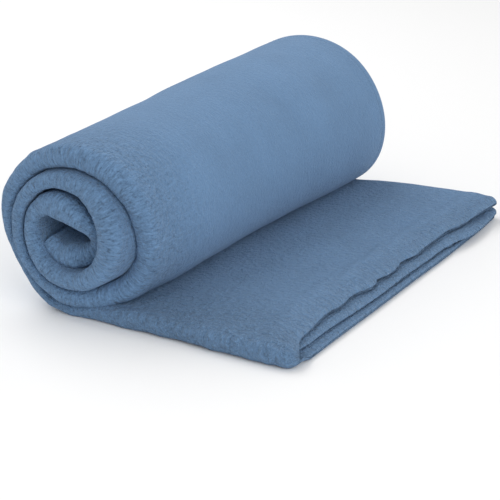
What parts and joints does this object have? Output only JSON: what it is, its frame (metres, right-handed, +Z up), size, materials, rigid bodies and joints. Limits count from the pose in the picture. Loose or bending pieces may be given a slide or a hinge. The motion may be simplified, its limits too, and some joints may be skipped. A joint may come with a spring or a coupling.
{
  "type": "quick dry towel",
  "caption": "Plush microfibre towel, folded lengthwise, rolled into a cylinder with its free end lying flat, and hemmed on its edges.",
  "frame": {"origin": "centre of the overall box at its bottom, on the surface the towel lies on", "axes": "+Z up, +Y along the roll from its folded end to its hemmed end, +X towards the flat free end"},
  "size_m": [0.251, 0.35, 0.1393],
  "materials": {
    "fleece": "brushed plush pile, matt with a soft sheen",
    "hem_thread": "twisted polyester sewing thread"
  },
  "bodies": {
    "root": {"fleece_sheet": "fleece", "outer_end_hem_needle_thread": "hem_thread", "outer_end_hem_bobbin_thread": "hem_thread", "inner_end_hem_needle_thread": "hem_thread", "inner_end_hem_bobbin_thread": "hem_thread", "lower_side_hem_needle_thread": "hem_thread", "lower_side_hem_bobbin_thread": "hem_thread", "upper_side_hem_needle_thread": "hem_thread", "upper_side_hem_bobbin_thread": "hem_thread"}
  },
  "joints": []
}
